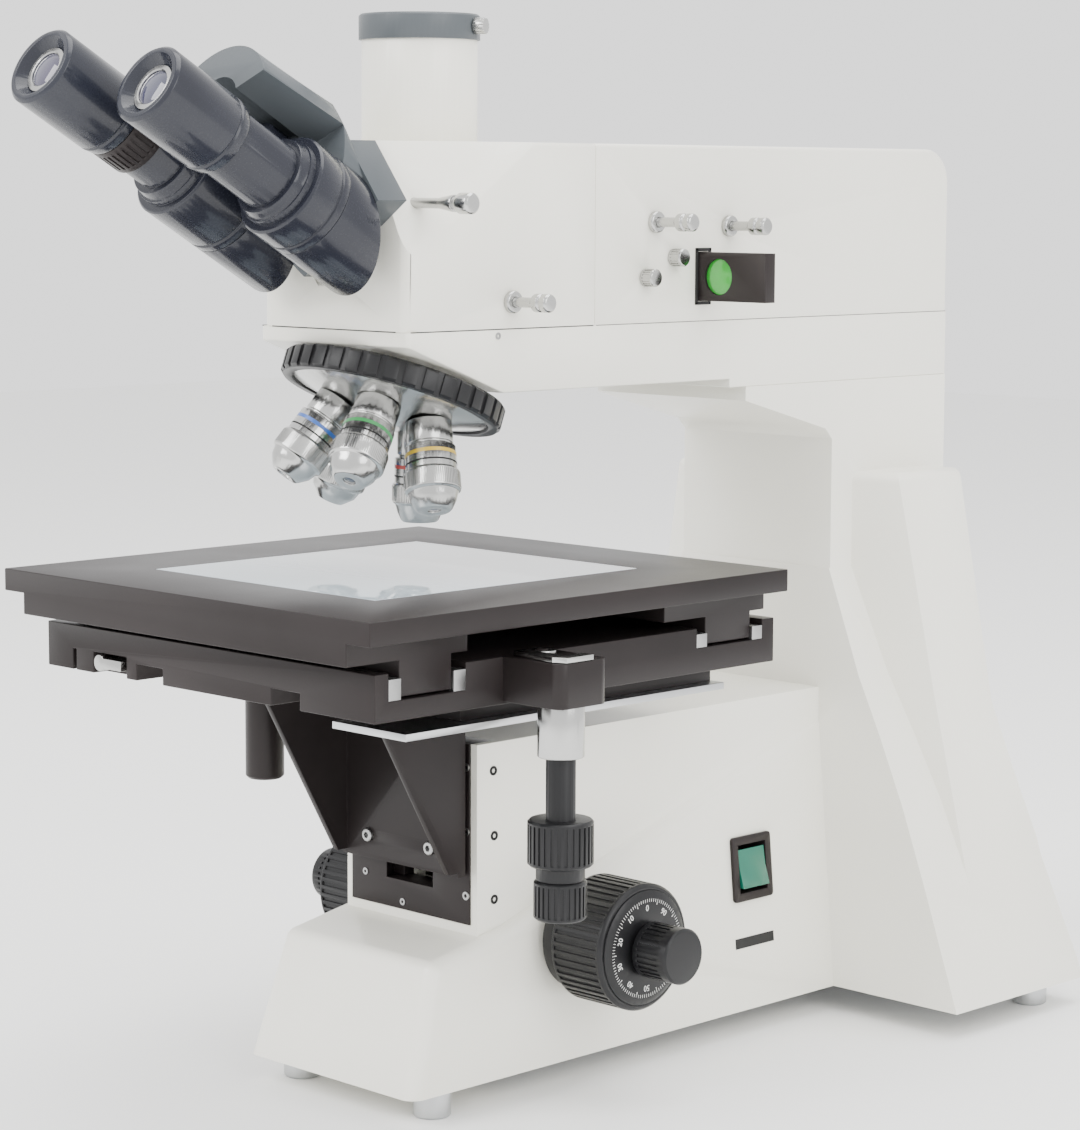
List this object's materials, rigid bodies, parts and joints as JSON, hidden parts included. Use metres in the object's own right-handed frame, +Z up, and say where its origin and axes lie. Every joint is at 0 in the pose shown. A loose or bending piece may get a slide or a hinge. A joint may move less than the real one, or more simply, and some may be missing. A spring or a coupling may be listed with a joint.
{
  "type": "compound microscope",
  "caption": "Upright trinocular microscope with reflected-light illuminator, tilted nosepiece, hinged binocular head and a large crossed-slide stage on a rack-driven bracket.",
  "frame": {"origin": "where the optical axis meets the bench", "axes": "+X to the operator's right, +Y away from the operator, +Z up along the optical axis"},
  "size_m": [0.305, 0.5851, 0.536],
  "materials": {
    "white_enamel": "satin cream-white enamel on cast aluminium",
    "black_anodised": "satin black anodised",
    "black_knob": "black lacquered, fluted grip",
    "navy_enamel": "gloss blue-black enamel",
    "grey_enamel": "satin grey enamel",
    "chrome": "polished chrome on brass",
    "bright_metal": "turned or milled bare aluminium",
    "ground_steel": "ground steel",
    "green_plastic": "translucent green rocker",
    "black_plastic": "moulded black plastic",
    "clear_glass": "clear",
    "stage_glass": "polished glass plate",
    "green_glass": "green filter glass"
  },
  "bodies": {
    "stand": {"stand_casting": "white_enamel", "bottom_plate": "bright_metal", "feet": "bright_metal", "arm_casting": "white_enamel", "head_housing": "white_enamel", "illuminator_housing": "white_enamel", "photo_tube": "white_enamel", "photo_tube_ring": "grey_enamel", "switch_bezel": "black_anodised", "power_inlet": "black_plastic", "lamp_socket": "black_anodised", "lamp_optics": "clear_glass", "focus_guide": "black_anodised", "nosepiece_mount": "chrome", "binocular_body": "grey_enamel", "hinge_block": "navy_enamel", "shaft_bushes": "chrome"},
    "stage_lift": {"focus_carriage": "ground_steel", "stage_bracket": "black_anodised", "bracket_screws": "ground_steel", "table_plate": "black_anodised", "side_rail": "bright_metal"},
    "stage_cross": {"middle_plate": "black_anodised", "slide_rails": "ground_steel", "drive_block": "black_anodised", "drive_collar": "chrome", "push_handle": "black_anodised"},
    "stage_long": {"top_plate": "black_anodised", "glass_plate": "stage_glass"},
    "coarse_focus": {"coarse_shaft": "ground_steel", "coarse_knobs": "black_knob"},
    "fine_focus": {"fine_knobs": "black_knob", "fine_dial": "black_knob"},
    "tension": {"tension_ring": "black_knob"},
    "y_drive": {"y_drive_knob": "black_knob"},
    "x_drive": {"x_drive_knob": "black_knob"},
    "clutch": {"clutch_lever": "chrome"},
    "stage_lock": {"stage_lock_lever": "chrome"},
    "nosepiece": {"nosepiece_bowl": "chrome", "nosepiece_ring": "black_knob", "objective_5x": "chrome", "objective_10x": "chrome", "objective_20x": "chrome", "objective_50x": "chrome", "objective_100x": "chrome"},
    "right_tube": {"prism_housing_right": "navy_enamel", "eyepiece_right": "navy_enamel"},
    "left_tube": {"prism_housing_left": "navy_enamel", "eyepiece_left": "navy_enamel"},
    "diopter": {"diopter_ring": "black_anodised"},
    "splitter": {"splitter_slide": "chrome"},
    "analyzer": {"analyzer_slide": "chrome"},
    "field_stop": {"field_stop_rod": "chrome"},
    "aperture_stop": {"aperture_stop_rod": "chrome"},
    "upper_screw": {"centring_screw_upper": "chrome"},
    "lower_screw": {"centring_screw_lower": "chrome"},
    "filter": {"filter_slider": "black_anodised", "filter_glass": "green_glass"},
    "rocker": {"switch_rocker": "green_plastic"},
    "photo_clamp": {"photo_clamp_screw": "chrome"}
  },
  "joints": [
    {"name": "stage_height", "type": "slide", "parent": "stand", "child": "stage_lift", "axis": [0, 0, 1], "range_m": [-0.015, 0.02]},
    {"name": "stage_y_travel", "type": "slide", "parent": "stage_lift", "child": "stage_cross", "axis": [0, 1, 0], "range_m": [-0.0867, 0.1173]},
    {"name": "stage_x_travel", "type": "slide", "parent": "stage_cross", "child": "stage_long", "axis": [1, 0, 0], "range_m": [-0.102, 0.102]},
    {"name": "coarse_focus_turn", "type": "hinge", "parent": "stand", "child": "coarse_focus", "pos_m": [0, 0.0545, 0.078], "axis": [-1, 0, 0], "range_deg": [-107.5, 143.3]},
    {"name": "fine_focus_turn", "type": "hinge", "parent": "stand", "child": "fine_focus", "pos_m": [0, 0.0545, 0.078], "axis": [1, 0, 0], "continuous": true},
    {"name": "tension_turn", "type": "hinge", "parent": "stand", "child": "tension", "pos_m": [0, 0.0545, 0.078], "axis": [1, 0, 0], "range_deg": [-40, 40]},
    {"name": "y_drive_turn", "type": "hinge", "parent": "stage_cross", "child": "y_drive", "pos_m": [0.14, -0.0413, 0.2], "axis": [0, 0, 1], "range_deg": [-414.1, 560.2]},
    {"name": "x_drive_turn", "type": "hinge", "parent": "stage_cross", "child": "x_drive", "pos_m": [0.14, -0.0413, 0.2], "axis": [0, 0, 1], "range_deg": [-487.1, 487.1]},
    {"name": "clutch_swing", "type": "hinge", "parent": "stage_cross", "child": "clutch", "pos_m": [0.131, -0.045, 0.24], "axis": [0, 0, 1], "range_deg": [0, 35]},
    {"name": "stage_lock_turn", "type": "hinge", "parent": "stage_cross", "child": "stage_lock", "pos_m": [-0.077, -0.1397, 0.2215], "axis": [0, 1, 0], "range_deg": [0, 60]},
    {"name": "nosepiece_turn", "type": "hinge", "parent": "stand", "child": "nosepiece", "pos_m": [0, 0, 0.3989], "axis": [0, -0.3584, -0.9336], "continuous": true},
    {"name": "right_tube_swing", "type": "hinge", "parent": "stand", "child": "right_tube", "pos_m": [0, -0.04515, 0.44124], "axis": [0, -0.866, 0.5], "range_deg": [-3.8, 30.5]},
    {"name": "left_tube_swing", "type": "hinge", "parent": "stand", "child": "left_tube", "pos_m": [0, -0.04515, 0.44124], "axis": [0, -0.866, 0.5], "range_deg": [-30.5, 3.8]},
    {"name": "diopter_turn", "type": "hinge", "parent": "left_tube", "child": "diopter", "pos_m": [-0.0292, -0.0573, 0.4202], "axis": [0, -0.866, 0.5], "range_deg": [-60, 60]},
    {"name": "splitter_pull", "type": "slide", "parent": "stand", "child": "splitter", "axis": [1, 0, 0], "range_m": [-0.008, 0.008]},
    {"name": "analyzer_pull", "type": "slide", "parent": "stand", "child": "analyzer", "axis": [1, 0, 0], "range_m": [-0.01, 0.01]},
    {"name": "field_stop_pull", "type": "slide", "parent": "stand", "child": "field_stop", "axis": [1, 0, 0], "range_m": [-0.01, 0.01]},
    {"name": "aperture_stop_pull", "type": "slide", "parent": "stand", "child": "aperture_stop", "axis": [1, 0, 0], "range_m": [-0.01, 0.01]},
    {"name": "upper_screw_turn", "type": "hinge", "parent": "stand", "child": "upper_screw", "pos_m": [0.05, 0.1267, 0.417], "axis": [1, 0, 0], "range_deg": [-180, 180]},
    {"name": "lower_screw_turn", "type": "hinge", "parent": "stand", "child": "lower_screw", "pos_m": [0.05, 0.1057, 0.407], "axis": [1, 0, 0], "range_deg": [-180, 180]},
    {"name": "filter_slide", "type": "slide", "parent": "stand", "child": "filter", "axis": [1, 0, 0], "range_m": [-0.04, 0.002]},
    {"name": "rocker_tilt", "type": "hinge", "parent": "stand", "child": "rocker", "pos_m": [0.04911, 0.191, 0.08946], "axis": [0, 1, 0], "range_deg": [0, 16]},
    {"name": "photo_clamp_turn", "type": "hinge", "parent": "stand", "child": "photo_clamp", "pos_m": [0, 0, 0.53], "axis": [0.9304, 0.3665, 0], "range_deg": [-180, 180]}
  ],
  "couplings": [
    {"joint": "coarse_focus_turn", "follows": "stage_height", "rad_per_m": 125},
    {"joint": "y_drive_turn", "follows": "stage_y_travel", "rad_per_m": 83.333},
    {"joint": "x_drive_turn", "follows": "stage_x_travel", "rad_per_m": 83.333},
    {"joint": "left_tube_swing", "follows": "right_tube_swing", "ratio": -1}
  ]
}
